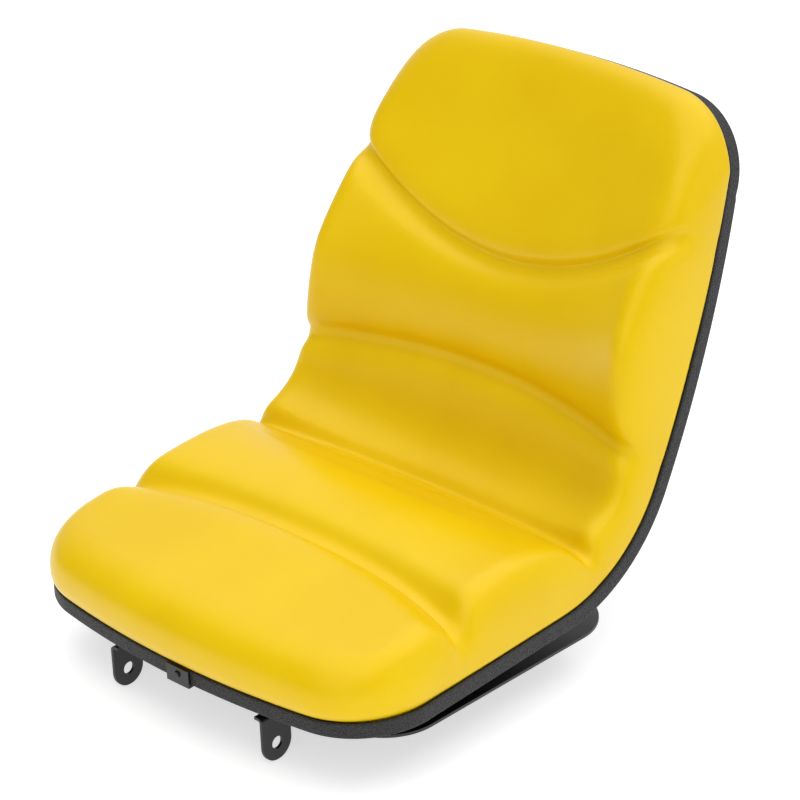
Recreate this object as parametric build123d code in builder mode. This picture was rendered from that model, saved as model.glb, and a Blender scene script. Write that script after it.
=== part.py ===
"""High-back bucket seat for a garden tractor.

Axes: X to the sitter's left, which is the viewer's right in a front view, Y from the front of the seat
to its back, Z up. The origin is on the pivot line of the two mounting ears, midway between them.
Every place on the seat is given by the run along the side line of the pan, from the front edge to the
top of the back, and by the height above that line, square to it.
"""
import os
from math import cos, degrees, exp, radians, sin, sqrt
from build123d import *

os.makedirs("parts", exist_ok=True)

# side line of the pan: a nearly level base, a bend and a gently curved back
base_rise = 2.44
base_run = 284.5
bend_radius = 196.3
bend_turn = 53.8
back_radius = 1134.0
side_run = 853.0
front_above_pivot = 43.3
front_ahead_of_pivot = 31.0

# outline of the edge
seat_width = 480.0
side_taper = 0.0758
front_bow = 27.0
front_corner = 86.5
top_bow = 16.3
top_corner = 78.0

# edge trim and pan
trim_height = 15.5
trim_wall = 3.0
trim_lip = 2.5
trim_lip_width = 14.0
pan_sheet = 1.5
pan_flange = 10.0
seat_gap = 0.3

# cushion: runs of five stations, level of the pads there and how much the sides stand up from it
pad_height = 90.0
level_runs = [side_run * share for share in (0.0, 0.281, 0.498, 0.703, 1.0)]
pad_levels = [pad_height * share for share in (0.811, 1.0, 0.339, 0.867, 0.589)]
side_levels = [pad_height * share for share in (-0.089, -0.044, 0.333, 0.422, 0.111)]
bolster_power = 2.6

# grooves between the pads: run at the centre, shift at the side, depth at the side
groove_centre = 11.0
groove_reach = 20.0
groove_runs = [side_run * share for share in (0.2016, 0.4267, 0.6114, 0.7421)]
groove_shifts = [side_run * share for share in (-0.0258, -0.0234, -0.0346, 0.0967)]
groove_depths = [groove_centre * share for share in (2.27, 2.82, 1.0, 1.32)]

# rolled rims of the cushion and how far they hang over the trim
side_roll = 30.0
head_roll = 59.0
side_power = 3.2
front_roll = 16.5
front_power = 3.0
top_roll = 60.0
top_power = 2.0
side_overhang = 5.0
front_overhang = 10.7
top_overhang = 13.0
overhang_height = 6.0
overhang_gap = 1.8
overhang_root = 4.0
root_height = 4.0

# mounting plate
plate_sheet = 3.0
plate_width = 456.0
plate_front = 23.0
plate_back = 348.0
plate_corner = 57.0
plate_top = 32.3

# ears
ear_span = 210.0
ear_width = 36.0
ear_bend = 5.0
pivot_hole = 13.0

# pressed channels of the pan and the fixings through them
channel_spread = 220.0
channel_width = 46.0
channel_front = 68.0
channel_back = 248.0
channel_draft = 14.0
fixing_front = 103.0
fixing_back = 213.0
bolt_size = 8.0
bolt_clearance = 0.5
head_flats = 13.0
head_height = 5.3
washer_size = 17.0
washer_sheet = 1.6
nut_side = 14.0
nut_height = 6.5
thread_gap = 0.1

# clip over the joint of the trim
clip_centre = 9.0
clip_width = 30.0
clip_sheet = 2.5
clip_return = 10.0
trim_joint = 1.0
rivet_size = 4.0
rivet_head = 7.0
rivet_dome = 2.0
rivet_height = 8.0
rivet_gap = 0.1

# what follows from the sizes above
half_width = seat_width / 2
back_run = side_run - base_run - bend_radius * radians(bend_turn)
lead = 80.0
pan_low = trim_lip
pan_high = trim_lip + pan_sheet
pan_inset = trim_wall + seat_gap
cushion_inset = pan_inset + pan_sheet + 2 * seat_gap
cushion_half = half_width - cushion_inset
root_inset = cushion_inset + overhang_root
root_half = half_width - root_inset

# how closely the cushion's sections stand: turns over the rolled side, shares of the way to the middle
side_turns = (8, 24, 40, 60, 90)
flat_shares = (0.3, 0.6)

# how closely a section follows the skin, in turns over its rolled ends and shares of each pad
under_turn = 60
front_turns = (25, 50, 75)
pad_shares = (0.0, 0.1, 0.25, 0.5, 0.75, 0.9)
top_turns = (30, 60, 90)
floor_steps = 12
roll_limit = 0.75
pace_share = 0.7


def side_place(run, height):
    """Y and Z of a place on the seat, from its run along the side line and its height above it."""
    start = radians(base_rise)
    end = radians(base_rise + bend_turn)
    y = -front_ahead_of_pivot + min(run, base_run) * cos(start)
    z = front_above_pivot + min(run, base_run) * sin(start)
    angle = start
    if run > base_run:
        angle = min(start + (run - base_run) / bend_radius, end)
        y += bend_radius * (sin(angle) - sin(start))
        z += bend_radius * (cos(start) - cos(angle))
    rest = run - base_run - bend_radius * radians(bend_turn)
    if rest > 0:
        angle = end + rest / back_radius
        y += back_radius * (sin(angle) - sin(end))
        z += back_radius * (cos(end) - cos(angle))
    return y - height * sin(angle), z + height * cos(angle)


def side_line(height):
    """Line, arc and arc that run parallel to the side line, drawn in the open line block."""
    base = Line(side_place(-lead, height), side_place(base_run, height))
    bend = JernArc(base @ 1, base % 1, bend_radius - height, bend_turn)
    turn = degrees((back_run + lead) / back_radius)
    back = JernArc(bend @ 1, bend % 1, back_radius - height, turn)
    return base @ 0, back @ 1


def layer(low, high, inset):
    """Solid between two parallels of the side line, inside the edge's outline less an inset."""
    with BuildPart() as body:
        with BuildSketch(Plane.YZ):
            with BuildLine():
                front_low, top_low = side_line(low)
                front_high, top_high = side_line(high)
                Line(front_low, front_high)
                Line(top_low, top_high)
            make_face()
        extrude(amount=seat_width, both=True)
        with BuildSketch(Plane.XY.offset(-seat_width)):
            with BuildLine():
                front = -front_ahead_of_pivot
                corner = front + front_bow
                far = front + side_run
                ThreePointArc((-half_width, corner), (0, front), (half_width, corner))
                Polyline((half_width, corner), (half_width, far), (-half_width, far), (-half_width, corner))
            make_face()
            fillet(vertices().sort_by(Axis.Y)[0:2], front_corner)
            offset(amount=-inset, mode=Mode.REPLACE)
        extrude(amount=3 * seat_width, mode=Mode.INTERSECT)
        with BuildSketch(Plane.XZ):
            top = side_place(side_run, 0)[1]
            foot = front_above_pivot - lead
            low_half = half_width + side_taper * lead
            top_half = half_width - side_taper * (top - top_bow - front_above_pivot)
            with BuildLine():
                ThreePointArc((-top_half, top - top_bow), (0, top), (top_half, top - top_bow))
                Polyline(
                    (top_half, top - top_bow), (low_half, foot), (-low_half, foot), (-top_half, top - top_bow)
                )
            make_face()
            fillet(vertices().sort_by(Axis.Y)[-2:], top_corner)
            offset(amount=-inset, mode=Mode.REPLACE)
        extrude(amount=2 * side_run, both=True, mode=Mode.INTERSECT)
    return body.part


def blend(values, run):
    """Smooth passage through the values at the five stations."""
    place = max(0.0, min(run, side_run))
    for first in range(4):
        start = level_runs[first]
        end = level_runs[first + 1]
        if place <= end:
            share = (place - start) / (end - start)
            ease = share * share * (3 - 2 * share)
            return values[first] + (values[first + 1] - values[first]) * ease
    return values[4]


def rolled(depth, width, power):
    """Rounded rise from 0 at the rim to 1 at the given width inside it."""
    share = max(0.0, min(depth / width, 1.0))
    return (1 - (1 - share) ** power) ** (1 / power)


def bowed_edge(reach, bow, corner, lean):
    """Bow radius of an edge, and centre of the round corner between the bow and a side that leans."""
    bow_radius = (reach**2 + bow**2) / (2 * bow)
    side = reach
    for _ in range(6):
        middle = side - corner * sqrt(1 + lean**2)
        depth = bow_radius - sqrt((bow_radius - corner) ** 2 - middle**2)
        side = reach + lean * (depth - bow)
    return bow_radius, middle, depth


def edge_depth(x, inset, edge, corner):
    """Depth below the crown of an edge at x, moved in by inset, and how squarely the edge faces its end."""
    bow_radius, middle, depth = edge
    inner = corner - inset
    if x <= middle * (bow_radius - inset) / (bow_radius - corner):
        return bow_radius - sqrt((bow_radius - inset) ** 2 - x**2), 1.0
    share = min((x - middle) / inner, 1.0)
    facing = sqrt(1 - max(share, 0.0) ** 2)
    return depth - inner * facing, facing


def outline_runs(across, half, front_inset, top_inset):
    """Runs where a lengthwise section meets the outline, moved in at its ends, and how squarely it does."""
    edge = bowed_edge(half_width, front_bow, front_corner, 0.0)
    front, front_facing = edge_depth(across * half, front_inset, edge, front_corner)
    crown = side_place(side_run, 0)[1]
    angle = radians(base_rise + bend_turn) + back_run / back_radius
    top_half = half_width - side_taper * (crown - top_bow - front_above_pivot)
    edge = bowed_edge(top_half, top_bow, top_corner, side_taper)
    below = 0.0
    for _ in range(3):
        x = across * (half - side_taper * (crown - below - front_above_pivot))
        below, top_facing = edge_depth(x, top_inset, edge, top_corner)
    front += trim_height * sin(radians(base_rise))
    top = side_run - (below + trim_height * cos(angle)) / sin(angle)
    return front, front_facing, top, top_facing


def rim_runs(across):
    """Runs of the cushion's rims inside the trim, and of the pads' outline that hangs over it."""
    share = abs(across)
    inside = min(share, 1.0)
    front, front_facing, top, top_facing = outline_runs(inside, cushion_half, cushion_inset, cushion_inset)
    front_out = side_overhang + (front_overhang - side_overhang) * front_facing**2
    top_out = side_overhang + (top_overhang - side_overhang) * top_facing**2
    pads = outline_runs(share, cushion_half, cushion_inset - front_out, cushion_inset - top_out)
    return front, pads[0], top, pads[2]


def groove_depth(run, across):
    """Depth of the grooves at a place, deeper towards the sides."""
    depth = 0.0
    for groove, shift, side_depth in zip(groove_runs, groove_shifts, groove_depths):
        away = run - groove - shift * across**2
        bottom = groove_centre + (side_depth - groove_centre) * across**4
        depth += bottom * exp(-((away / groove_reach) ** 2))
    return depth


def skin_height(run, across):
    """Height of the cushion's skin above the side line."""
    front, ahead, top, behind = rim_runs(across)
    level = blend(pad_levels, run) + blend(side_levels, run) * abs(across) ** bolster_power
    level -= groove_depth(run, across)
    share = max(0.0, min((run - level_runs[3]) / (side_run - level_runs[3]), 1.0))
    roll = side_roll + (head_roll - side_roll) * share + side_overhang
    rise = rolled((1 - abs(across)) * cushion_half + side_overhang, roll, side_power)
    rise *= rolled(run - ahead, front_roll + front - ahead, front_power)
    rise *= rolled(behind - run, top_roll + behind - top, top_power)
    rim = trim_height + overhang_height
    return rim + (level - rim) * rise


def skin_line(across):
    """Places of the skin in one lengthwise section, from its front root, over the pads, to its top root.

    Outside its root the overhang's underside rises in a quarter of an ellipse.
    """
    front, ahead, top, behind = rim_runs(across)
    root_share = min(abs(across) * cushion_half / root_half, 1.0)
    root_front, _, root_top, _ = outline_runs(root_share, root_half, root_inset, root_inset)
    share = max(0.0, min((abs(across) * cushion_half - root_half) / (side_overhang + overhang_root), 1.0))
    rim = trim_height + overhang_height
    low = rim - (overhang_height - overhang_gap) * sqrt(1 - share**2)
    grooves = [run + shift * across**2 for run, shift in zip(groove_runs, groove_shifts)]
    shoulder = min(front + front_roll, front + roll_limit * (grooves[0] - front))
    neck = max(top - top_roll, top - roll_limit * (top - grooves[3]))
    marks = [shoulder] + grooves + [neck]
    runs = [ahead]
    for turn in front_turns:
        runs.append(ahead + (shoulder - ahead) * (1 - cos(radians(turn)) ** (2 / front_power)))
    for first, last in zip(marks[:-1], marks[1:]):
        runs += [first + share * (last - first) for share in pad_shares]
    runs.append(neck)
    for turn in top_turns:
        runs.append(neck + (behind - neck) * sin(radians(turn)) ** (2 / top_power))
    out = sin(radians(under_turn))
    under = rim - (rim - low) * cos(radians(under_turn))
    places = [(root_front, low), (root_front + (ahead - root_front) * out, under)]
    places += [(run, skin_height(run, across)) for run in runs]
    places += [(root_top + (behind - root_top) * out, under), (root_top, low)]
    return places


def section_shares():
    """Shares of the half width at which the cushion's sections stand, closer over the rolled sides."""
    roll = side_roll + side_overhang
    inside = [roll * (1 - cos(radians(turn)) ** (2 / side_power)) - side_overhang for turn in side_turns]
    inside += [side_roll + (cushion_half - side_roll) * share for share in flat_shares]
    right = [1 - place / cushion_half for place in inside]
    return [-share for share in right] + [0.0] + right[::-1]


def section_plane(across):
    """Lengthwise plane at a share of the half width, leaning in with the taper of the sides."""
    lean = across * side_taper
    start = (across * cushion_half, 0, front_above_pivot)
    return Plane(origin=start, x_dir=(0, 1, 0), z_dir=(1, 0, lean))


def spots(places, across):
    """Runs and heights as points on a section plane."""
    stretch = sqrt(1 + (across * side_taper) ** 2)
    points = []
    for run, height in places:
        y, z = side_place(run, height)
        points.append(Vector(y, (z - front_above_pivot) * stretch))
    return points


def skin_pace(across):
    """Share of the skin's length at each of its places, kept the same in all sections."""
    points = spots(skin_line(across), across)
    pace = [0.0]
    for first, last in zip(points[:-1], points[1:]):
        pace.append(pace[-1] + (last - first).length)
    return [step / pace[-1] for step in pace]


# cushion: a lower layer inside the trim, and pads over it, lofted through lengthwise sections
pace = skin_pace(pace_share)
with BuildPart() as cushion:
    for across in section_shares():
        with BuildSketch(section_plane(across)):
            with BuildLine():
                places = skin_line(across)
                skin = Edge.make_spline(spots(places, across), parameters=pace)
                front_run, low = places[0]
                reach = places[-1][0] - front_run
                floor = [(front_run + reach * step / floor_steps, low) for step in range(floor_steps + 1)]
                bottom = Edge.make_spline(spots(floor, across), parameters=range(floor_steps + 1))
                add([skin, bottom])
            make_face()
    loft(ruled=True)
    add(layer(pan_high + seat_gap, trim_height + root_height, cushion_inset))
cushion.part.label = "cushion"
export_step(cushion.part, "parts/cushion.step")

# edge trim: an angle section round the whole edge, its two ends meeting at the front under the clip
trim_outside = layer(0, trim_height, 0)
trim_inside = layer(trim_lip, trim_height + lead / 2, trim_wall)
trim_under = layer(-lead / 2, trim_lip, trim_lip_width)
front_face = -front_ahead_of_pivot
rivet_level = front_above_pivot + rivet_height
with BuildPart() as edge_trim:
    add(trim_outside)
    add(trim_inside, mode=Mode.SUBTRACT)
    add(trim_under, mode=Mode.SUBTRACT)
    with Locations((clip_centre, front_face, front_above_pivot)):
        Box(trim_joint, 2 * front_corner, 3 * trim_height, mode=Mode.SUBTRACT)
    with Locations(Plane.XZ * Location((clip_centre, rivet_level, 0))):
        Cylinder(rivet_size / 2 + rivet_gap, 4 * front_corner, mode=Mode.SUBTRACT)
edge_trim.part.label = "edge_trim"
export_step(edge_trim.part, "parts/edge_trim.step")

# seat pan: a bent sheet with an upturned rim and two pressed channels that stand on the mounting plate
channel_middle = (channel_front + channel_back) / 2
channel_length = channel_back - channel_front
channel_tall = side_place(base_run, pan_high)[1] - plate_top + channel_draft


def channel_form(inside):
    """Drafted form of the two pressed channels, less a wall on its inside."""
    with BuildPart() as form:
        for side in (-1, 1):
            for rise in (inside, channel_tall):
                spread = channel_draft * rise / channel_tall - 2 * inside
                with BuildSketch(Plane.XY.offset(plate_top + rise)):
                    with Locations((side * channel_spread / 2, channel_middle)):
                        RectangleRounded(
                            channel_width + spread, channel_length + spread, channel_width / 4 - inside
                        )
            loft()
    return form.part


pan_rim = layer(pan_low, pan_low + pan_flange, pan_inset)
pan_well = layer(pan_high, pan_low + lead, pan_inset + pan_sheet)
pan_below = layer(-lead, pan_high, pan_inset)
channel_outside = channel_form(0)
channel_inside = channel_form(pan_sheet)
fixings = [
    (side * channel_spread / 2, y) for side in (-1, 1) for y in (fixing_front, fixing_back)
]
hole_radius = bolt_size / 2 + bolt_clearance
with BuildPart() as channels:
    add(channel_outside)
    add(pan_below, mode=Mode.INTERSECT)
with BuildPart() as seat_pan:
    add(pan_rim)
    add(pan_well, mode=Mode.SUBTRACT)
    add(channels.part)
    add(channel_inside, mode=Mode.SUBTRACT)
    with Locations([(x, y, plate_top) for x, y in fixings]):
        Cylinder(hole_radius, 4 * pan_sheet, mode=Mode.SUBTRACT)
    with Locations(Plane.XZ * Location((clip_centre, rivet_level, 0))):
        Cylinder(rivet_size / 2 + rivet_gap, 4 * front_corner, mode=Mode.SUBTRACT)
seat_pan.part.label = "seat_pan"
export_step(seat_pan.part, "parts/seat_pan.step")

# mounting plate: a flat sheet with rounded corners and a front strap whose ends are bent down as ears,
# with its front edge set back between them
plate_low = plate_top - plate_sheet
plate_middle = (plate_front + plate_back) / 2
ear_round = ear_width / 2
neck_width = ear_span - 4 * ear_bend
with BuildPart() as strap:
    with BuildSketch(Plane.XZ.offset(-ear_round)):
        with Locations((0, (plate_top - ear_width) / 2)):
            Rectangle(ear_span, plate_top + ear_width)
        fillet(vertices().sort_by(Axis.Y)[-2:], ear_bend)
    extrude(amount=ear_width)
    with BuildSketch(Plane.XZ.offset(-ear_round)):
        with Locations((0, (plate_low - ear_width) / 2)):
            Rectangle(ear_span - 2 * plate_sheet, plate_low + ear_width)
        fillet(vertices().sort_by(Axis.Y)[-2:], ear_bend - plate_sheet)
    extrude(amount=ear_width, mode=Mode.SUBTRACT)
    with BuildSketch(Plane.YZ):
        Circle(ear_round)
        with Locations((0, plate_top / 2)):
            Rectangle(ear_width, plate_top)
        Circle(pivot_hole / 2, mode=Mode.SUBTRACT)
    extrude(amount=ear_span, both=True, mode=Mode.INTERSECT)
    with BuildSketch(Plane.XY.offset(plate_low)):
        with Locations((0, -ear_round / 2)):
            Rectangle(neck_width, ear_round)
        fillet(vertices().sort_by(Axis.Y)[-2:], ear_bend)
    extrude(amount=plate_sheet, mode=Mode.SUBTRACT)
with BuildPart() as mount_plate:
    with BuildSketch(Plane.XY.offset(plate_low)):
        with Locations((0, plate_middle)):
            RectangleRounded(plate_width, plate_back - plate_front, plate_corner)
        with Locations((0, plate_front / 2 + ear_bend)):
            Rectangle(neck_width, plate_front)
        with Locations(fixings):
            Circle(hole_radius, mode=Mode.SUBTRACT)
    extrude(amount=plate_sheet)
    add(strap.part)
mount_plate.part.label = "mount_plate"
export_step(mount_plate.part, "parts/mount_plate.step")

# fixings of the plate: bolts from below, through washers, into nuts welded inside the channels
washer_low = plate_low - washer_sheet
nut_low = plate_top + pan_sheet
with BuildPart() as weld_nuts:
    with BuildSketch(Plane.XY.offset(nut_low)):
        with Locations(fixings):
            Rectangle(nut_side, nut_side)
            Circle(bolt_size / 2 + thread_gap, mode=Mode.SUBTRACT)
    extrude(amount=nut_height)
weld_nuts.part.label = "weld_nuts"
export_step(weld_nuts.part, "parts/weld_nuts.step")
with BuildPart() as washers:
    with BuildSketch(Plane.XY.offset(washer_low)):
        with Locations(fixings):
            Circle(washer_size / 2)
            Circle(hole_radius, mode=Mode.SUBTRACT)
    extrude(amount=washer_sheet)
washers.part.label = "washers"
export_step(washers.part, "parts/washers.step")
with BuildPart() as bolts:
    with BuildSketch(Plane.XY.offset(washer_low)):
        with Locations(fixings):
            RegularPolygon(head_flats / 2, 6, major_radius=False)
    extrude(amount=-head_height)
    with BuildSketch(Plane.XY.offset(washer_low)):
        with Locations(fixings):
            Circle(bolt_size / 2)
    extrude(amount=nut_low + nut_height + bolt_size / 4 - washer_low)
    chamfer(faces().sort_by(Axis.Z)[-4:].edges(), bolt_size / 10)
bolts.part.label = "bolts"
export_step(bolts.part, "parts/bolts.step")

# clip over the joint of the trim, with its rivet through trim and pan rim
clip_outside = layer(-clip_sheet, trim_height - seat_gap, -clip_sheet)
clip_inside = layer(0, trim_height + lead / 2, 0)
with BuildPart() as trim_clip:
    add(clip_outside)
    with Locations((clip_centre, front_face, front_above_pivot)):
        Box(clip_width, 2 * clip_return, 3 * trim_height, mode=Mode.INTERSECT)
    add(clip_inside, mode=Mode.SUBTRACT)
    with Locations(Plane.XZ * Location((clip_centre, rivet_level, 0))):
        Cylinder(rivet_size / 2 + rivet_gap, 4 * front_corner, mode=Mode.SUBTRACT)
trim_clip.part.label = "trim_clip"
export_step(trim_clip.part, "parts/trim_clip.step")
rivet_face = -front_face + clip_sheet
with BuildPart() as rivet:
    with BuildSketch(Plane.XZ.offset(rivet_face)):
        with Locations((clip_centre, rivet_level)):
            Circle(rivet_head / 2)
    extrude(amount=rivet_dome)
    chamfer(faces().sort_by(Axis.Y)[0].edges(), rivet_dome / 2)
    with BuildSketch(Plane.XZ.offset(rivet_face)):
        with Locations((clip_centre, rivet_level)):
            Circle(rivet_size / 2)
    extrude(amount=-(clip_sheet + pan_inset + pan_sheet))
rivet.part.label = "rivet"
export_step(rivet.part, "parts/rivet.step")
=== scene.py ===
import math

import bmesh
import bpy
import numpy as np
from mathutils import Matrix, Vector


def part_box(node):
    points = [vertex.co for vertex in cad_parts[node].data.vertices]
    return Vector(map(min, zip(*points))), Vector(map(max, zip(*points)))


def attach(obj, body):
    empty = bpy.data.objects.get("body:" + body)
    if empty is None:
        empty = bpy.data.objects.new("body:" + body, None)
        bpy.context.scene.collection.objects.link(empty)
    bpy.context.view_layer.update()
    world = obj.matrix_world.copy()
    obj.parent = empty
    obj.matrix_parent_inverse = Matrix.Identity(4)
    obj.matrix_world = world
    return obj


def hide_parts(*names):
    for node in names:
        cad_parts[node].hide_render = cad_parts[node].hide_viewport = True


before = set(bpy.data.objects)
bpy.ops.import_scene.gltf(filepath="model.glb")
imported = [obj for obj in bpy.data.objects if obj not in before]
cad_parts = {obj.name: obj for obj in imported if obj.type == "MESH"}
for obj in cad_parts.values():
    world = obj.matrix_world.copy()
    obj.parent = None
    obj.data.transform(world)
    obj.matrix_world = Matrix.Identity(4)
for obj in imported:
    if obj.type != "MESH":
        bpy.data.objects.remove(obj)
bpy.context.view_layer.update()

bl_info = {
    "name": "Tractor seat",
    "version": (1, 0, 0),
    "blender": (4, 5, 0),
    "location": "View3D > Sidebar > Seat",
    "description": "Moulded bucket seat with pebbled edge trim and coated steel mount",
    "category": "Object",
}

edge_low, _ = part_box("edge_trim")
plate_low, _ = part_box("mount_plate")

# places in the grids
roll_columns = 36  # over a rolled side
flat_columns = 55  # from a rolled side to the middle
roll_rows = 23  # over the rolled front, and over the rolled top
pad_rows = 35  # from one groove to the next
ring_rows = 9  # under the overhang
under_rows = 60  # over the underside
under_columns = 31
arc_places = 60  # along a bow or a corner of the edge
side_places = 240  # along a side of the edge
path_places = 900  # along the whole trim
corner_places = 6  # round a corner of the trim's section

# rounds of what is worked out in turn
edge_passes = 6  # corner and side of a bowed edge
rim_passes = 3  # top rim and width there
grid_passes = 9  # runs and shares across

# shapes that the settings don't reach
row_hug = 0.7  # how closely rows stand together at the grooves
roll_limit = 0.75  # largest share of an end pad that its rolled rim takes
dip_power = 4  # how late a groove's broad dip deepens towards the side
channel_power = 4  # squareness of a groove's channel
early_overhang = 1.4  # how much sooner than its roll the side's overhang grows
rim_pinch = 0.08  # share of the grooves' pinch at the outline
pinch_growth = 3  # growth of that share over the rolled side

# ranges of the textures, the mirrored sky and the camera
blotch_low, blotch_high = 0.35, 0.65
drift_low, drift_high = 0.3, 0.7
shine_low, shine_high = -0.2, 0.5
floor_tone = 1.02  # lighter blotches of the floor
frame_width = 36  # of the camera, in millimetres
far_clip = 50  # of the camera, in metres


def length(name, description, default):
    """Length property in metres."""
    return bpy.props.FloatProperty(
        name=name, description=description, default=default, unit="LENGTH", subtype="DISTANCE", precision=4
    )


def lengths(name, description, default):
    """Several lengths in metres."""
    return bpy.props.FloatVectorProperty(
        name=name, description=description, default=default, size=len(default), unit="LENGTH", precision=4
    )


def angle(name, description, degrees):
    """Angle property, with its default in degrees."""
    return bpy.props.FloatProperty(
        name=name, description=description, default=math.radians(degrees), unit="ROTATION", subtype="ANGLE"
    )


def factor(name, description, default):
    """Plain number."""
    return bpy.props.FloatProperty(name=name, description=description, default=default, precision=3)


def colour(name, description, default):
    """Linear colour."""
    return bpy.props.FloatVectorProperty(
        name=name, description=description, default=default, size=3, min=0, max=1, subtype="COLOR"
    )


class SeatPan(bpy.types.PropertyGroup):
    """Side line of the pan and the outline of its edge."""

    base_rise: angle("Base rise", "Rise of the base towards the back", 2.44)
    base_run: length("Base run", "Straight part of the side line", 0.2845)
    bend_radius: length("Bend radius", "Radius between base and back", 0.1963)
    bend_turn: angle("Bend turn", "Turn of the bend", 53.8)
    back_radius: length("Back radius", "Radius of the back", 1.134)
    side_run: length("Side run", "Whole length of the side line", 0.853)
    front_z: length("Front height", "Lower front edge above the pivot line", edge_low.z)
    front_y: length("Front place", "Front edge from the pivot line", edge_low.y)
    half_width: length("Half width", "Half of the seat's width", 0.240)
    side_taper: factor("Side taper", "Loss of half width for each unit of height", 0.0758)
    front_bow: length("Front bow", "Bow of the front edge", 0.027)
    front_corner: length("Front corner", "Radius of the front corners", 0.0865)
    top_bow: length("Top bow", "Bow of the top edge", 0.0163)
    top_corner: length("Top corner", "Radius of the top corners", 0.078)


class SeatCushion(bpy.types.PropertyGroup):
    """Pads, grooves and rolled rims of the cushion."""

    inset: length("Inset", "Rim of the cushion inside the outline", 0.0058)
    floor: length("Floor", "Underside above the side line", 0.0043)
    level_runs: lengths("Level runs", "Runs of the level stations", (0.0, 0.240, 0.425, 0.600, 0.853))
    pad_levels: lengths("Pad levels", "Levels at the centre", (0.073, 0.090, 0.0305, 0.078, 0.053))
    side_levels: lengths("Side levels", "Rise of the sides above them", (-0.007, -0.003, 0.031, 0.041, 0.011))
    bolster_power: factor("Bolster power", "How late the sides rise", 2.6)
    groove_runs: lengths("Groove runs", "Grooves at the centre", (0.172, 0.364, 0.5215, 0.633))
    groove_shifts: lengths("Groove shifts", "Their shift at the side", (-0.022, -0.020, -0.0295, 0.0825))
    groove_dips: lengths("Groove dips", "Broad dip of each groove at the side", (0.018, 0.016, 0.004, 0.0075))
    centre_dip: length("Centre dip", "Broad dip of the grooves at the centre", 0.004)
    dip_reach: length("Dip reach", "Reach of the broad dip", 0.020)
    channel_depth: length("Channel depth", "Depth of the channel at the bottom of a groove", 0.007)
    steep_width: length("Steep width", "Half width of the channel on its steep side", 0.007)
    gentle_width: length("Gentle width", "Half width of the channel on its other side", 0.016)
    side_roll: length("Side roll", "Width of the rolled side", 0.030)
    head_roll: length("Head roll", "Width of the rolled side at the top", 0.059)
    side_power: factor("Side power", "Fullness of the rolled side", 2.7)
    side_overhang: length("Side overhang", "Side pads over the trim", 0.005)
    head_overhang: length("Head overhang", "Side pads over the trim beside the head", 0.009)
    groove_pinch: length("Groove pinch", "How far the grooves draw in the sides", 0.0055)
    groove_fade: factor("Groove fade", "How early the grooves fade out down the sides", 1.6)
    front_roll: length("Front roll", "Width of the rolled front", 0.038)
    top_roll: length("Top roll", "Width of the rolled top", 0.060)
    front_height: length("Front height", "Outline of the front pad above the trim", 0.018)
    front_reach: length("Front reach", "Run over which the outline comes down to the trim", 0.130)
    front_power: factor("Front power", "Fullness of the rolled front", 2.4)
    top_power: factor("Top power", "Fullness of the rolled top", 2.0)
    front_overhang: length("Front overhang", "Front pad over the trim", 0.011)
    top_overhang: length("Top overhang", "Head pad over the trim", 0.013)
    overhang_height: length("Overhang height", "Height of the overhangs", 0.006)


class SeatTrim(bpy.types.PropertyGroup):
    """Section of the edge trim."""

    height: length("Height", "Height of the trim", 0.0155)
    wall: length("Wall", "Thickness of its wall", 0.003)
    lip: length("Lip", "Thickness of its lower lip", 0.0025)
    lip_width: length("Lip width", "Reach of its lower lip", 0.014)
    edge_round: length("Edge round", "Rounding of its outer edges", 0.0022)
    joint_place: length("Joint place", "Place of the joint at the front", 0.009)
    joint_gap: length("Joint gap", "Gap between the two ends", 0.001)


class SeatColours(bpy.types.PropertyGroup):
    """Colours of the finishes."""

    vinyl: colour("Vinyl", "Yellow of the skin", (0.80, 0.535, 0.0003))
    vinyl_shade: colour("Vinyl shade", "Deeper yellow of the skin", (0.76, 0.495, 0.0002))
    vinyl_sheen: colour("Vinyl sheen", "Colour of the light that its surface throws back", (1.0, 0.88, 0.40))
    trim: colour("Trim", "Grey black of the trim", (0.018, 0.018, 0.019))
    # Painted shade: the finish lays this deeper black in the crevices between the trim's pebbles
    trim_crevice_shade: colour("Trim shade", "Deeper black of the trim", (0.009, 0.009, 0.0095))
    coat: colour("Coat", "Black of the coated steel", (0.005, 0.005, 0.0055))
    coat_shade: colour("Coat shade", "Deeper black of the coated steel", (0.003, 0.003, 0.003))
    zinc: colour("Zinc", "Plating of the fixings", (0.62, 0.62, 0.60))
    zinc_shade: colour("Zinc shade", "Duller plating of the fixings", (0.46, 0.46, 0.47))
    floor: colour("Floor", "Pale studio floor", (0.62, 0.62, 0.62))


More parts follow.
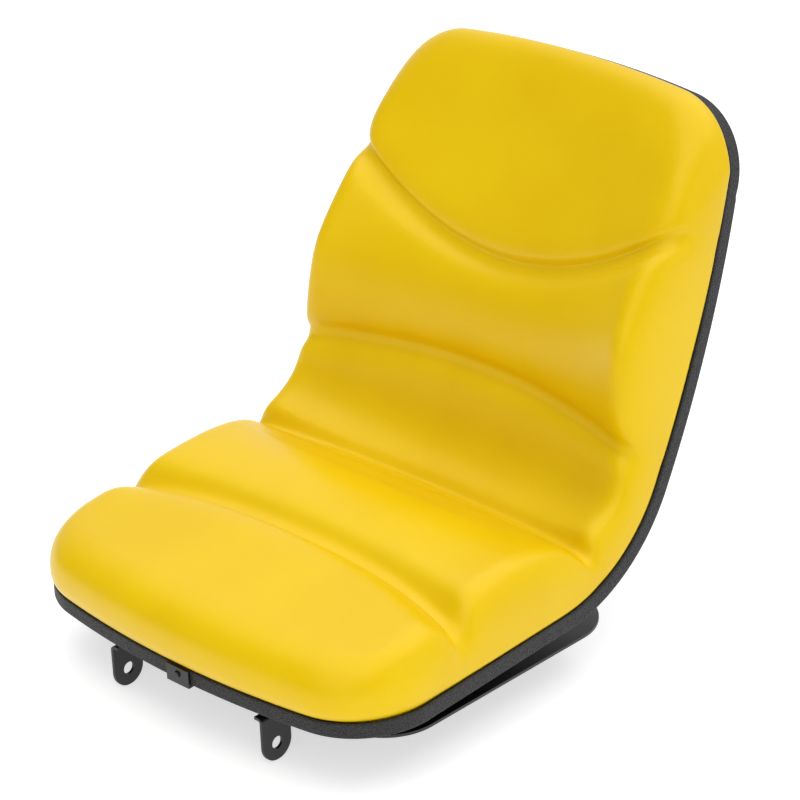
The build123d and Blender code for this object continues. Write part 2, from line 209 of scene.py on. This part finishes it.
class SeatStage(bpy.types.PropertyGroup):
    """Camera and light."""

    azimuth: angle("Azimuth", "Camera round the seat from its front", 45.131)
    elevation: angle("Elevation", "Camera above the horizon", 25.878)
    roll: angle("Roll", "Camera about its own axis", -2.335)
    distance: length("Distance", "Camera from the point it aims at", 2.9943)
    aim: lengths("Aim", "Point that the camera aims at", (0.0786, 0.2045, 0.2679))
    lens: factor("Lens", "Focal length in millimetres on a 36 mm frame", 144.06)
    fill: factor("Fill", "Strength of the light from all round", 0.36)
    overhead: factor("Overhead", "Strength of the light above", 2.15)
    overhead_spread: angle("Overhead spread", "Angle that the light above fills", 80.0)
    overhead_from: lengths("Overhead from", "Place of the light above from the aim", (0.1, 0.4, 2.2))
    side: factor("Side", "Strength of the light on the right", 0.14)
    side_spread: angle("Side spread", "Angle that the light on the right fills", 24.0)
    side_from: lengths("Side from", "Place of the light on the right from the aim", (2.4, 0.7, 1.0))
    front: factor("Front", "Strength of the light from the front", 0.75)
    front_spread: angle("Front spread", "Angle that the light from the front fills", 60.0)
    front_from: lengths("Front from", "Place of the light in front from the aim", (1.2, -1.9, 1.9))
    floor_reach: length("Floor reach", "Reach of the floor on each side", 6.0)
    floor_glow: factor("Floor glow", "Light of the floor itself, as of a light table", 0.60)
    shine_front: factor("Shine front", "What the seat mirrors in front of it", 0.08)
    shine_back: factor("Shine back", "What the seat mirrors behind it", 0.95)


def side_line(pan, run, height):
    """Places of runs along the bent side line, with heights square to it.

    The line is straight for base_run, turns by bend_turn on bend_radius and goes on along back_radius.
    Returns y, z and the line's slope.
    """
    start = pan.base_rise
    end = start + pan.bend_turn
    straight = np.minimum(run, pan.base_run)
    bent = start + np.clip((run - pan.base_run) / pan.bend_radius, 0, pan.bend_turn)
    rest = np.maximum(run - pan.base_run - pan.bend_radius * pan.bend_turn, 0)
    last = end + rest / pan.back_radius
    y = pan.front_y + straight * math.cos(start) + pan.bend_radius * (np.sin(bent) - math.sin(start))
    y = y + pan.back_radius * (np.sin(last) - math.sin(end))
    z = pan.front_z + straight * math.sin(start) + pan.bend_radius * (math.cos(start) - np.cos(bent))
    z = z + pan.back_radius * (math.cos(end) - np.cos(last))
    slope = bent + rest / pan.back_radius
    return y - height * np.sin(slope), z + height * np.cos(slope), slope


def bowed_edge(reach, bow, corner, lean):
    """Bow radius of an edge, and centre of the round corner between the bow and a side that leans."""
    bow_radius = (reach**2 + bow**2) / (2 * bow)
    side = reach
    for _ in range(edge_passes):
        middle = side - corner * math.sqrt(1 + lean**2)
        depth = bow_radius - math.sqrt((bow_radius - corner) ** 2 - middle**2)
        side = reach + lean * (depth - bow)
    return bow_radius, middle, depth


def edge_depth(x, inset, edge, corner):
    """Depth below the crown of a bowed edge at x, moved in by inset, and how squarely it faces its end there.

    The edge is an arc on the bow's radius up to the corner's start, and then an arc on the corner's radius.
    """
    bow_radius, middle, depth = edge
    inner = corner - inset
    start = middle * (bow_radius - inset) / (bow_radius - corner)
    on_bow = bow_radius - np.sqrt((bow_radius - inset) ** 2 - np.minimum(x, start) ** 2)
    share = np.clip((x - middle) / inner, 0, 1)
    on_corner = depth - inner * np.sqrt(1 - share**2)
    return np.where(x <= start, on_bow, on_corner), np.sqrt(1 - share**2)


def crown_of(pan):
    """Height of the top edge's crown and the slope of the side line there."""
    _, crown, slope = side_line(pan, np.array(pan.side_run), 0)
    return float(crown), float(slope)


def top_edge(pan):
    """The bowed top edge, whose sides lean in with the taper."""
    crown, _ = crown_of(pan)
    reach = pan.half_width - pan.side_taper * (crown - pan.top_bow - pan.front_z)
    return bowed_edge(reach, pan.top_bow, pan.top_corner, pan.side_taper)


def rim_runs(pan, pads, trim, across):
    """Runs of the front and top rims at shares of the half width, and how far the pads hang over them.

    The pads reach out from the rim by an overhang that changes round each corner from the end's to the
    side's, so their outline is the rim's own one with a smaller inset.
    """
    half = pan.half_width - pads.inset
    base = np.minimum(across, 1)
    edge = bowed_edge(pan.half_width, pan.front_bow, pan.front_corner, 0)
    front, facing = edge_depth(base * half, pads.inset, edge, pan.front_corner)
    over = pads.side_overhang + (pads.front_overhang - pads.side_overhang) * facing**2
    ahead, _ = edge_depth(across * half, pads.inset - over, edge, pan.front_corner)
    crown, slope = crown_of(pan)
    edge = top_edge(pan)
    below = np.zeros_like(across)
    above = np.zeros_like(across)
    for _ in range(rim_passes):
        x = base * (half - pan.side_taper * (crown - below - pan.front_z))
        below, facing = edge_depth(x, pads.inset, edge, pan.top_corner)
        over = pads.head_overhang + (pads.top_overhang - pads.head_overhang) * facing**2
        x = across * (half - pan.side_taper * (crown - above - pan.front_z))
        above, _ = edge_depth(x, pads.inset - over, edge, pan.top_corner)
    top = pan.side_run - (below + trim.height * math.cos(slope)) / math.sin(slope)
    top_out = (below - above) / math.sin(slope)
    return front + trim.height * math.sin(pan.base_rise), front - ahead, top, top_out


def stations(runs, values, run):
    """Smooth passage through values at the level stations, with a cubic that is level at each one."""
    runs = np.array(runs)
    values = np.array(values)
    first = np.clip(np.searchsorted(runs, run, side="right") - 1, 0, len(runs) - 2)
    share = np.clip((run - runs[first]) / (runs[first + 1] - runs[first]), 0, 1)
    return values[first] + (values[first + 1] - values[first]) * share**2 * (3 - 2 * share)


def rolled(depth, width, power):
    """Rise from 0 at a rim to 1 at width inside it, along a superellipse."""
    share = np.clip(depth / width, 0, 1)
    return (1 - (1 - share) ** power) ** (1 / power)


def rim_level(pads, trim, run):
    """Height of the skin's outline: a little above the trim at the sides, half up the pad at the front."""
    near = 1 - np.clip((run - pads.front_roll) / pads.front_reach, 0, 1)
    near = near**2 * (3 - 2 * near)
    return trim.height + pads.overhang_height + (pads.front_height - pads.overhang_height) * near


def grooves(pads, run, across):
    """Depth of the grooves, and how near each place is to one.

    A groove follows a parabola across the seat. It is a broad bell-shaped dip, deeper towards the sides, with
    a flat channel at its bottom. The channel is steep towards the front on the two seat grooves and towards
    the top on the two back grooves.
    """
    depth = np.zeros_like(run)
    near = np.zeros_like(run)
    deeper = across**dip_power
    steep_sides = (-1, -1, 1, 1)
    for at, shift, dip, steep in zip(pads.groove_runs, pads.groove_shifts, pads.groove_dips, steep_sides):
        away = run - at - shift * across**2
        width = np.where(away * steep > 0, pads.steep_width, pads.gentle_width)
        channel = 1 / (1 + (away / width) ** channel_power)
        broad = np.exp(-((away / pads.dip_reach) ** 2))
        depth += (pads.centre_dip + (dip - pads.centre_dip) * deeper) * broad
        depth += pads.channel_depth * channel
        near = np.maximum(near, channel)
    return depth, near


def skin_height(pan, pads, trim, run, across, rise):
    """Height of the skin above the side line, from its run, its share across and its rise from the side rim.

    It goes from the outline's height to the pads' level by the rises from all rims, less the grooves.
    """
    front, front_out, top, top_out = rim_runs(pan, pads, trim, across)
    bolster = np.minimum(across, 1) ** pads.bolster_power
    level = stations(pads.level_runs, pads.pad_levels, run)
    level = level + stations(pads.level_runs, pads.side_levels, run) * bolster
    rise = rise * rolled(run - front + front_out, pads.front_roll + front_out, pads.front_power)
    rise = rise * rolled(top + top_out - run, pads.top_roll + top_out, pads.top_power)
    rim = rim_level(pads, trim, run)
    return rim + (level - rim) * rise - grooves(pads, run, across)[0] * rise**pads.groove_fade


def mirrored(values):
    """Values from one rim to the middle, and back to the other rim."""
    return np.concatenate([values, values[-2::-1]])


def side_rims(pan, pads, run):
    """Width of the rolled side and its overhang, which both grow beside the head."""
    late = np.clip((run - pads.level_runs[3]) / (pan.side_run - pads.level_runs[3]), 0, 1)
    roll = pads.side_roll + (pads.head_roll - pads.side_roll) * late
    grown = np.minimum(early_overhang * late, 1)
    return roll, pads.side_overhang + (pads.head_overhang - pads.side_overhang) * grown


def cushion_grid(pan, pads, trim):
    """Grid of the cushion's skin: rows from the front to the top, columns from side to side.

    Over the rolled rims rows and columns follow a superellipse by its angle. Between them rows stand close
    together at the grooves and follow them, and the grooves draw in the sides. The runs need the shares across
    and these need the runs, so both are worked out in turn. Returns runs, shares across and heights.
    """
    half = pan.half_width - pads.inset
    turn = np.linspace(0, math.pi / 2, roll_columns)
    flat = np.linspace(0, 1, flat_columns + 1)[1:]
    share = mirrored(np.concatenate([1 - np.cos(turn) ** (2 / pads.side_power), 0 * flat + 1]))
    rise = mirrored(np.concatenate([np.sin(turn) ** (2 / pads.side_power), 0 * flat + 1]))
    flat = mirrored(np.concatenate([0 * turn, flat]))
    side = np.where(np.arange(len(share)) < len(share) // 2, -1, 1)

    turn = np.linspace(0, math.pi / 2, roll_rows + 1)[:-1]
    ease = np.linspace(0, 1, pad_rows + 1)[:-1]
    ease = ease - row_hug * np.sin(2 * math.pi * ease) / (2 * math.pi)
    first = 1 - np.cos(turn) ** (2 / pads.front_power)
    last = np.sin(turn) ** (2 / pads.top_power)
    spans = [first, ease, ease, ease, ease, ease, last, np.array([0.0])]
    step = np.concatenate(spans)[:, None]
    mark = np.repeat(np.arange(len(spans)), [len(span) for span in spans])
    row = np.arange(len(step))

    inside = share * pads.side_roll + (half - pads.side_roll) * flat
    across = np.broadcast_to(1 - inside / half, (len(step), len(share)))
    for _ in range(grid_passes):
        front, front_out, top, top_out = rim_runs(pan, pads, trim, across)
        lines = [at + shift * across**2 for at, shift in zip(pads.groove_runs, pads.groove_shifts)]
        shoulder = front + np.minimum(pads.front_roll, roll_limit * (lines[0] - front))
        neck = top - np.minimum(pads.top_roll, roll_limit * (top - lines[3]))
        marks = np.stack([front - front_out, shoulder, *lines, neck, top + top_out, top + top_out])
        here = marks[mark, row]
        run = here + step * (marks[mark + 1, row] - here)
        roll, over = side_rims(pan, pads, run)
        pinch = pads.groove_pinch * roll / pads.side_roll * grooves(pads, run, np.minimum(across, 1))[1]
        pinch = pinch * (rim_pinch + pinch_growth * share) * (1 - share) ** 2
        inside = share * (roll + over) - over + pinch + (half - roll) * flat
        across = np.maximum(1 - inside / half, 0)
    return run, side * across, skin_height(pan, pads, trim, run, across, rise)


def seat_place(pan, pads, run, across, height):
    """Positions on the seat, from runs, shares of the half width and heights above the side line."""
    half = pan.half_width - pads.inset
    y, z, _ = side_line(pan, run, height)
    return np.stack([across * (half - pan.side_taper * (z - pan.front_z)), y, z], axis=-1)


def border(grid):
    """Closed loop round a grid: first row, last column, last row, first column."""
    return np.concatenate([grid[0, :-1], grid[:-1, -1], grid[-1, :0:-1], grid[:0:-1, 0]])


def drawn_in(pan, pads, trim, run, across):
    """Runs and shares across of the skin's places, drawn in so that the outline comes to lie on the rim."""
    front, front_out, top, top_out = rim_runs(pan, pads, trim, np.abs(across))
    share = (run - front + front_out) / (top + top_out - front + front_out)
    across = across / np.abs(across).max(axis=1, keepdims=True)
    front, _, top, _ = rim_runs(pan, pads, trim, np.abs(across))
    return front + share * (top - front), across


def overhang_rings(pan, pads, trim, run, across, height):
    """Closed rings under the skin's overhang, from its outline in to the cushion's rim beside the trim.

    Each place of the outline moves to its place on the rim and down, in a quarter of an ellipse.
    """
    outline = np.stack([border(run), border(across)], axis=-1)
    rim = np.stack([border(grid) for grid in drawn_in(pan, pads, trim, run, across)], axis=-1)
    turn = np.linspace(0, math.pi / 2, ring_rows + 1)[1:, None]
    places = outline + (rim - outline) * (1 - np.cos(turn))[..., None]
    level = trim.height + (border(height) - trim.height) * (1 - np.sin(turn))
    return seat_place(pan, pads, places[..., 0], places[..., 1], level)


def wall_faces(upper, lower, kept):
    """Faces between a line of places and a coarser one below it, which has those that are kept."""
    return [
        upper[first : last + 1].tolist() + [int(low_last), int(low_first)]
        for first, last, low_first, low_last in zip(kept[:-1], kept[1:], lower[:-1], lower[1:])
    ]


def solid_piece(name, points, faces, material):
    """Closed mesh piece from points and faces, with outward faces and smooth shading."""
    mesh = bpy.data.meshes.new(name)
    mesh.from_pydata(points, [], faces)
    work = bmesh.new()
    work.from_mesh(mesh)
    bmesh.ops.recalc_face_normals(work, faces=work.faces)
    work.to_mesh(mesh)
    work.free()
    if mesh.validate():
        raise RuntimeError(f"{name} had faces that don't fit together")
    mesh.shade_smooth()
    mesh.materials.append(material)
    piece = bpy.data.objects.new(name, mesh)
    bpy.context.scene.collection.objects.link(piece)
    return piece


def grid_faces(grid):
    """Quads between neighbours of a grid of vertex numbers."""
    quads = np.stack([grid[:-1, :-1], grid[:-1, 1:], grid[1:, 1:], grid[1:, :-1]], axis=-1)
    return quads.reshape(-1, 4).tolist()


def cushion_faces(rows, columns, ring_count, kept, ribs):
    """Faces of the cushion: its skin, the rings under the overhang, the walls and the coarse underside.

    Points are numbered over the skin, the rings and the underside. The walls hang from the last ring, and the
    underside has only the rows and columns that are kept.
    """
    upper = np.arange(rows * columns).reshape(rows, columns)
    loop = border(upper)
    ring = rows * columns + np.arange(ring_count * len(loop)).reshape(ring_count, len(loop))
    lower = ring.max() + 1 + np.arange(len(kept) * len(ribs)).reshape(len(kept), len(ribs))
    hem = np.zeros(rows * columns, dtype=int)
    hem[loop] = ring[-1]
    hem = hem.reshape(rows, columns)
    strip = np.concatenate([loop[None], ring])
    faces = grid_faces(upper) + grid_faces(lower)
    faces += grid_faces(np.concatenate([strip, strip[:, :1]], axis=1))
    for side in (0, -1):
        faces += wall_faces(hem[:, side], lower[:, side], kept)
        faces += wall_faces(hem[side], lower[side], ribs)
    return faces


def round_loop(corners, rounds, steps):
    """Closed section through corners, each rounded by a parabola that starts and ends at its round's length."""
    corners = np.array(corners)
    before = np.roll(corners, 1, axis=0) - corners
    after = np.roll(corners, -1, axis=0) - corners
    size = np.array(rounds)[:, None]
    start = corners + before / np.linalg.norm(before, axis=1, keepdims=True) * size
    end = corners + after / np.linalg.norm(after, axis=1, keepdims=True) * size
    share = np.linspace(0, 1, steps)[None, :, None]
    curve = (1 - share) ** 2 * start[:, None] + 2 * share * (1 - share) * corners[:, None]
    curve = curve + share**2 * end[:, None]
    return curve.reshape(-1, 2)


def edge_path(pan, trim):
    """Outline of the edge, across and along the run, evenly spaced from one end of the trim to the other.

    Front bow, front corner, leaning side, top corner and top bow come in turn, and then their mirror image.
    """
    bow_radius, middle, depth = bowed_edge(pan.half_width, pan.front_bow, pan.front_corner, 0)
    tilt = math.asin(middle / (bow_radius - pan.front_corner))
    turn = np.linspace(0, tilt, arc_places)
    front = np.stack([bow_radius * np.sin(turn), bow_radius * (1 - np.cos(turn))], axis=-1)
    turn = np.linspace(tilt - math.pi / 2, 0, arc_places)
    corner = [middle + pan.front_corner * np.cos(turn), depth + pan.front_corner * np.sin(turn)]
    corner = np.stack(corner, axis=-1)
    _, slope = crown_of(pan)
    bow_radius, middle, depth = top_edge(pan)
    tilt = math.asin(middle / (bow_radius - pan.top_corner))
    turn = np.linspace(-math.atan(pan.side_taper), math.pi / 2 - tilt, arc_places)
    bend = [middle + pan.top_corner * np.cos(turn), depth - pan.top_corner * np.sin(turn)]
    bend = np.stack([bend[0], pan.side_run - bend[1] / math.sin(slope)], axis=-1)
    turn = np.linspace(tilt, 0, arc_places)
    top = [bow_radius * np.sin(turn), pan.side_run - bow_radius * (1 - np.cos(turn)) / math.sin(slope)]
    run = np.linspace(corner[-1, 1], bend[0, 1], side_places)[1:-1]
    _, z, _ = side_line(pan, run, 0)
    side = np.stack([pan.half_width - pan.side_taper * (z - pan.front_z), run], axis=-1)
    right = np.concatenate([front, corner[1:], side, bend, np.stack(top, axis=-1)[1:]])
    loop = np.concatenate([right, right[-2::-1] * (-1, 1)])
    far = np.concatenate([[0], np.cumsum(np.linalg.norm(np.diff(loop, axis=0), axis=1))])
    ends = trim.joint_place + trim.joint_gap / 2, far[-1] + trim.joint_place - trim.joint_gap / 2
    even = np.mod(np.linspace(*ends, path_places), far[-1])
    return np.stack([np.interp(even, far, loop[:, 0]), np.interp(even, far, loop[:, 1])], axis=-1)


def trim_grid(pan, trim):
    """Grid of the edge trim: its rounded angle section carried along the outline of the edge.

    The section's first measure points out of the outline, in the surface of the pan, and the second one points
    up, square to the side line. At the front and the top the wall stands upright and level as the pan's edge
    does.
    """
    rounded = trim.edge_round
    small = trim.wall / 4
    corners = [
        (0, 0),
        (0, trim.height),
        (-trim.wall, trim.height),
        (-trim.wall, trim.lip),
        (-trim.lip_width, trim.lip),
        (-trim.lip_width, 0),
    ]
    section = round_loop(corners, [rounded, rounded, small, small, small, small], corner_places)
    path = edge_path(pan, trim)
    along = np.gradient(path, axis=0)
    along /= np.linalg.norm(along, axis=1, keepdims=True)
    out = np.stack([along[:, 1], -along[:, 0]], axis=-1)
    _, slope = crown_of(pan)
    lean = np.maximum(-out[:, 1], 0) * math.sin(pan.base_rise)
    lean = lean - np.maximum(out[:, 1], 0) / math.tan(slope)
    reach = section[None, :, 0]
    height = section[None, :, 1] * np.ones((len(path), 1))
    run = path[:, 1:] + reach * out[:, 1:] + height * lean[:, None]
    y, z, _ = side_line(pan, run, height)
    _, low, _ = side_line(pan, run, 0)
    x = path[:, :1] + reach * out[:, :1] - pan.side_taper * (z - low) * out[:, :1]
    return np.stack([x, y, z], axis=-1)


def new_material(name):
    """Empty node material with its surface shader and Object coordinates."""
    material = bpy.data.materials.new(name)
    material.use_nodes = True
    nodes = material.node_tree.nodes
    shader = next(node for node in nodes if node.type == "BSDF_PRINCIPLED")
    return material, nodes, material.node_tree.links, shader, nodes.new("ShaderNodeTexCoord")


def grain_texture(nodes, links, place, kind, scale):
    """Pattern of one kind on Object coordinates."""
    texture = nodes.new("ShaderNodeTexVoronoi" if kind == "cells" else "ShaderNodeTexNoise")
    texture.inputs["Scale"].default_value = scale
    links.new(place.outputs["Object"], texture.inputs["Vector"])
    return texture.outputs["Distance" if kind == "cells" else "Fac"]


def finish(name, tones, roughness, grains, blotch, metallic=0.0, tint=(1, 1, 1), glow=0.0):
    """Procedural finish on Object coordinates.

    Two tones are mixed by blotches, given as their kind and scale, and the roughness drifts between two values
    with them. Each grain, given as its kind, scale, strength and depth, adds to the relief. The tint colours
    what the surface throws back, and the glow is light of its own.
    """
    material, nodes, links, shader, place = new_material(name)
    # With blotches of the cells kind, the second tone is painted shade in the crevices between the cells,
    # lighter on their tops
    cloud = grain_texture(nodes, links, place, *blotch)
    tone = nodes.new("ShaderNodeValToRGB")
    tone.color_ramp.elements[0].position = blotch_low
    tone.color_ramp.elements[1].position = blotch_high
    tone.color_ramp.elements[0].color = (*tones[0], 1)
    tone.color_ramp.elements[1].color = (*tones[1], 1)
    links.new(cloud, tone.inputs["Fac"])
    links.new(tone.outputs["Color"], shader.inputs["Base Color"])
    drift = nodes.new("ShaderNodeMapRange")
    drift.inputs["From Min"].default_value = drift_low
    drift.inputs["From Max"].default_value = drift_high
    drift.inputs["To Min"].default_value = roughness[0]
    drift.inputs["To Max"].default_value = roughness[1]
    links.new(cloud, drift.inputs["Value"])
    links.new(drift.outputs["Result"], shader.inputs["Roughness"])
    shader.inputs["Metallic"].default_value = metallic
    shader.inputs["Specular Tint"].default_value = (*tint, 1)
    shader.inputs["Emission Strength"].default_value = glow
    relief = None
    for kind, scale, strength, depth in grains:
        pattern = grain_texture(nodes, links, place, kind, scale)
        bump = nodes.new("ShaderNodeBump")
        bump.invert = kind == "cells"
        bump.inputs["Strength"].default_value = strength
        bump.inputs["Distance"].default_value = depth
        links.new(pattern, bump.inputs["Height"])
        if relief is not None:
            links.new(relief.outputs["Normal"], bump.inputs["Normal"])
        relief = bump
    links.new(relief.outputs["Normal"], shader.inputs["Normal"])
    return material


def dress(nodes, material):
    """Gives CAD nodes their finish."""
    for name in nodes:
        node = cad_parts[name]
        node.data.materials.clear()
        node.data.materials.append(material)


class SEAT_OT_cushion(bpy.types.Operator):
    """Builds the moulded cushion as one closed skin"""

    bl_idname = "seat.cushion"
    bl_label = "Cushion"

    def execute(self, context):
        pan = context.scene.seat_pan
        pads = context.scene.seat_cushion
        trim = context.scene.seat_trim
        colours = context.scene.seat_colours
        run, across, height = cushion_grid(pan, pads, trim)
        rows, columns = run.shape
        skin = seat_place(pan, pads, run, across, height)
        rings = overhang_rings(pan, pads, trim, run, across, height)
        kept = np.unique(np.linspace(0, rows - 1, under_rows).astype(int))
        ribs = np.unique(np.linspace(0, columns - 1, under_columns).astype(int))
        under = seat_place(pan, pads, *drawn_in(pan, pads, trim, run, across), pads.floor)[np.ix_(kept, ribs)]
        faces = cushion_faces(rows, columns, len(rings), kept, ribs)
        points = np.concatenate([skin.reshape(-1, 3), rings.reshape(-1, 3), under.reshape(-1, 3)])
        grains = [
            ("noise", 46.0, 0.10, 0.004),
            ("cells", 900.0, 0.16, 0.0005),
            ("noise", 1700.0, 0.12, 0.0004),
        ]
        tones = (colours.vinyl_shade, colours.vinyl)
        vinyl = finish("vinyl", tones, (0.31, 0.37), grains, ("noise", 7.0), tint=colours.vinyl_sheen)
        piece = solid_piece("cushion_skin", points, faces, vinyl)
        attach(piece, "root")
        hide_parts("cushion")
        return {"FINISHED"}


class SEAT_OT_trim(bpy.types.Operator):
    """Builds the pebbled trim round the edge"""

    bl_idname = "seat.edge_trim"
    bl_label = "Edge trim"

    def execute(self, context):
        pan = context.scene.seat_pan
        trim = context.scene.seat_trim
        colours = context.scene.seat_colours
        points = trim_grid(pan, trim)
        rings, size = points.shape[:2]
        number = np.arange(rings * size).reshape(rings, size)
        faces = grid_faces(np.concatenate([number, number[:, :1]], axis=1))
        faces += [number[0].tolist(), number[-1].tolist()]
        # The pebble cells also mix the two tones: pebble tops keep the lighter grey black, and painted shade
        # darkens the crevices between them
        pebbles = ("cells", 620.0)
        grains = [(*pebbles, 1.0, 0.0012), ("noise", 1500.0, 0.30, 0.0005)]
        tones = (colours.trim, colours.trim_crevice_shade)
        plastic = finish("trim_plastic", tones, (0.45, 0.65), grains, pebbles)
        piece = solid_piece("trim_strip", points.reshape(-1, 3), faces, plastic)
        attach(piece, "root")
        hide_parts("edge_trim")
        return {"FINISHED"}


class SEAT_OT_steel(bpy.types.Operator):
    """Coats the pan, the mounting plate, the clip and its rivet"""

    bl_idname = "seat.coated_steel"
    bl_label = "Coated steel"

    def execute(self, context):
        colours = context.scene.seat_colours
        grains = [("noise", 420.0, 0.16, 0.0006), ("noise", 1500.0, 0.10, 0.0003)]
        tones = (colours.coat_shade, colours.coat)
        coat = finish("coated_steel", tones, (0.30, 0.44), grains, ("noise", 30.0))
        dress(("seat_pan", "mount_plate", "trim_clip", "rivet"), coat)
        return {"FINISHED"}


class SEAT_OT_fixings(bpy.types.Operator):
    """Plates the bolts, washers and weld nuts"""

    bl_idname = "seat.bright_fixings"
    bl_label = "Bright fixings"

    def execute(self, context):
        colours = context.scene.seat_colours
        grains = [("noise", 900.0, 0.12, 0.0003)]
        tones = (colours.zinc_shade, colours.zinc)
        zinc = finish("zinc_plate", tones, (0.24, 0.40), grains, ("noise", 120.0), metallic=1.0)
        dress(("bolts", "washers", "weld_nuts"), zinc)
        return {"FINISHED"}


def soft_light(name, away, aim, spread, power):
    """Broad far light that faces a point from some way off, as even as a large studio box."""
    light = bpy.data.lights.new(name, "SUN")
    light.angle = spread
    light.energy = power
    lamp = bpy.data.objects.new(name, light)
    lamp.location = aim + Vector(away)
    lamp.rotation_euler = (aim - lamp.location).to_track_quat("-Z", "Y").to_euler()
    bpy.context.scene.collection.objects.link(lamp)


def studio_floor(stage, tone):
    """Flat pale floor under the mounting plate, which glows a little as a light table does."""
    reach = stage.floor_reach
    level = plate_low.z
    corners = [(-reach, -reach, level), (reach, -reach, level), (reach, reach, level), (-reach, reach, level)]
    mesh = bpy.data.meshes.new("studio_floor")
    mesh.from_pydata(corners, [], [(0, 1, 2, 3)])
    tones = (tuple(tone), tuple(value * floor_tone for value in tone))
    grains = [("noise", 60.0, 0.02, 0.001)]
    pale = finish("studio_floor", tones, (0.7, 0.8), grains, ("noise", 3.0), glow=stage.floor_glow)
    mesh.materials.append(pale)
    floor = bpy.data.objects.new("studio_floor", mesh)
    bpy.context.scene.collection.objects.link(floor)


def studio_world(stage):
    """Even white sky, plain white where the camera sees it.

    What the seat mirrors grows from dim in front of it to bright behind it.
    """
    world = bpy.data.worlds.new("studio")
    world.use_nodes = True
    nodes = world.node_tree.nodes
    links = world.node_tree.links
    sky = next(node for node in nodes if node.type == "BACKGROUND")
    seen = nodes.new("ShaderNodeBackground")
    glossy = nodes.new("ShaderNodeBackground")
    for light in (sky, seen, glossy):
        light.inputs["Color"].default_value = (1, 1, 1, 1)
    sky.inputs["Strength"].default_value = stage.fill
    place = nodes.new("ShaderNodeTexCoord")
    axes = nodes.new("ShaderNodeSeparateXYZ")
    links.new(place.outputs["Generated"], axes.inputs["Vector"])
    shine = nodes.new("ShaderNodeMapRange")
    shine.inputs["From Min"].default_value = shine_low
    shine.inputs["From Max"].default_value = shine_high
    shine.inputs["To Min"].default_value = stage.shine_front
    shine.inputs["To Max"].default_value = stage.shine_back
    links.new(axes.outputs["Y"], shine.inputs["Value"])
    links.new(shine.outputs["Result"], glossy.inputs["Strength"])
    ray = nodes.new("ShaderNodeLightPath")
    unseen = nodes.new("ShaderNodeMixShader")
    both = nodes.new("ShaderNodeMixShader")
    out = next(node for node in nodes if node.type == "OUTPUT_WORLD")
    links.new(ray.outputs["Is Glossy Ray"], unseen.inputs["Fac"])
    links.new(sky.outputs["Background"], unseen.inputs[1])
    links.new(glossy.outputs["Background"], unseen.inputs[2])
    links.new(ray.outputs["Is Camera Ray"], both.inputs["Fac"])
    links.new(unseen.outputs["Shader"], both.inputs[1])
    links.new(seen.outputs["Background"], both.inputs[2])
    links.new(both.outputs["Shader"], out.inputs["Surface"])
    bpy.context.scene.world = world


def photo_camera(stage, aim):
    """Camera at an azimuth, elevation and distance from its aim, rolled about its own axis."""
    camera = bpy.data.objects.new("photo_camera", bpy.data.cameras.new("photo_camera"))
    turn, rise = stage.azimuth, stage.elevation
    back = Vector((math.sin(turn) * math.cos(rise), -math.cos(turn) * math.cos(rise), math.sin(rise)))
    right = Vector((math.cos(turn), math.sin(turn), 0))
    look = Matrix((right, back.cross(right), back)).transposed() @ Matrix.Rotation(stage.roll, 3, "Z")
    camera.matrix_world = Matrix.Translation(aim + back * stage.distance) @ look.to_4x4()
    camera.data.sensor_width = frame_width
    camera.data.lens = stage.lens
    camera.data.clip_end = far_clip
    bpy.context.scene.collection.objects.link(camera)
    bpy.context.scene.camera = camera


class SEAT_OT_stage(bpy.types.Operator):
    """Sets the floor, the soft light and the camera"""

    bl_idname = "seat.stage"
    bl_label = "Stage"

    def execute(self, context):
        stage = context.scene.seat_stage
        aim = Vector(stage.aim)
        studio_floor(stage, context.scene.seat_colours.floor)
        studio_world(stage)
        soft_light("overhead", stage.overhead_from, aim, stage.overhead_spread, stage.overhead)
        soft_light("right_side", stage.side_from, aim, stage.side_spread, stage.side)
        soft_light("front", stage.front_from, aim, stage.front_spread, stage.front)
        photo_camera(stage, aim)
        context.scene.view_settings.view_transform = "Standard"
        return {"FINISHED"}


class SEAT_PT_parts(bpy.types.Panel):
    """Lists the steps of the seat"""

    bl_idname = "SEAT_PT_parts"
    bl_label = "Tractor seat"
    bl_space_type = "VIEW_3D"
    bl_region_type = "UI"
    bl_category = "Seat"

    def draw(self, context):
        column = self.layout.column()
        for step in steps:
            column.operator(step.bl_idname)


steps = (SEAT_OT_cushion, SEAT_OT_trim, SEAT_OT_steel, SEAT_OT_fixings, SEAT_OT_stage)
groups = {
    "seat_pan": SeatPan,
    "seat_cushion": SeatCushion,
    "seat_trim": SeatTrim,
    "seat_colours": SeatColours,
    "seat_stage": SeatStage,
}


def register():
    """Registers the settings, the steps and the panel."""
    for name, group in groups.items():
        bpy.utils.register_class(group)
        setattr(bpy.types.Scene, name, bpy.props.PointerProperty(type=group))
    for step in steps:
        bpy.utils.register_class(step)
    bpy.utils.register_class(SEAT_PT_parts)


def unregister():
    """Takes back what register did."""
    bpy.utils.unregister_class(SEAT_PT_parts)
    for step in reversed(steps):
        bpy.utils.unregister_class(step)
    for name, group in groups.items():
        delattr(bpy.types.Scene, name)
        bpy.utils.unregister_class(group)


def main():
    """Builds the seat on its stage."""
    register()
    bpy.ops.seat.cushion()
    bpy.ops.seat.edge_trim()
    bpy.ops.seat.coated_steel()
    bpy.ops.seat.bright_fixings()
    bpy.ops.seat.stage()


if __name__ == "__main__":
    main()
